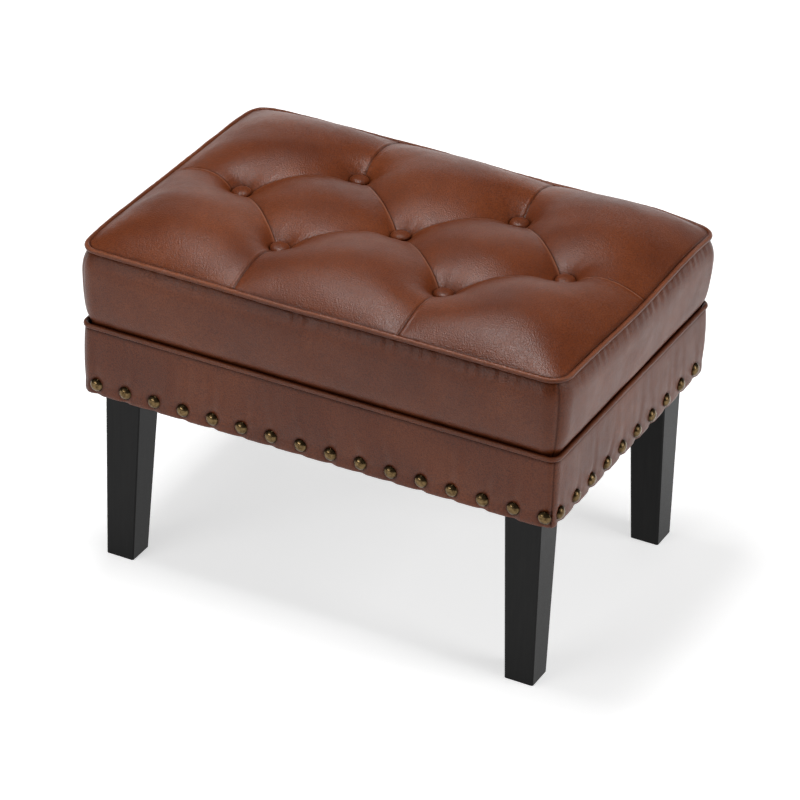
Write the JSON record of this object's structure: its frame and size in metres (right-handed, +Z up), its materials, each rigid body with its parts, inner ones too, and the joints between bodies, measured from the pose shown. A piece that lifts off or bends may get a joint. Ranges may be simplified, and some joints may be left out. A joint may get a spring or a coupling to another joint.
{
  "type": "upholstered footstool",
  "caption": "Rectangular footstool with a button-tufted, piped leather cushion, a studded leather border and tapered black wooden legs.",
  "frame": {"origin": "on the floor under the middle of the seat", "axes": "+Z up, +X along the seat to its right end, -Y towards the front, the long side seen in the picture"},
  "size_m": [0.613, 0.422, 0.4434],
  "materials": {
    "brown_leather": "pebbled, soft sheen",
    "black_wood": "black satin lacquer",
    "bare_wood": "unfinished",
    "antique_brass": "antiqued, polished domes",
    "zinc_steel": "bright zinc",
    "foam": "soft foam",
    "padding": "wadding",
    "card": "stiff card",
    "twine": "waxed twine",
    "black_cloth": "spun cloth"
  },
  "bodies": {
    "root": {"front_left_leg": "black_wood", "front_right_leg": "black_wood", "back_left_leg": "black_wood", "back_right_leg": "black_wood", "front_left_block": "bare_wood", "front_right_block": "bare_wood", "back_left_block": "bare_wood", "back_right_block": "bare_wood", "front_rail": "bare_wood", "back_rail": "bare_wood", "left_rail": "bare_wood", "right_rail": "bare_wood", "seat_board": "bare_wood", "leg_bolts": "zinc_steel", "tee_nuts": "zinc_steel", "block_screws": "zinc_steel", "board_screws": "zinc_steel", "seat_foam": "foam", "top_panel": "brown_leather", "front_boxing": "brown_leather", "back_boxing": "brown_leather", "left_boxing": "brown_leather", "right_boxing": "brown_leather", "top_welt": "brown_leather", "lower_welt": "brown_leather", "button_left": "brown_leather", "button_centre": "brown_leather", "button_right": "brown_leather", "button_front_left": "brown_leather", "button_front_right": "brown_leather", "button_back_left": "brown_leather", "button_back_right": "brown_leather", "tuft_twines": "twine", "twine_toggles": "bare_wood", "front_border": "brown_leather", "back_border": "brown_leather", "left_border": "brown_leather", "right_border": "brown_leather", "border_padding": "padding", "tack_strips": "card", "nailheads_front": "antique_brass", "nailheads_back": "antique_brass", "nailheads_left": "antique_brass", "nailheads_right": "antique_brass", "dust_cover": "black_cloth"}
  },
  "joints": []
}
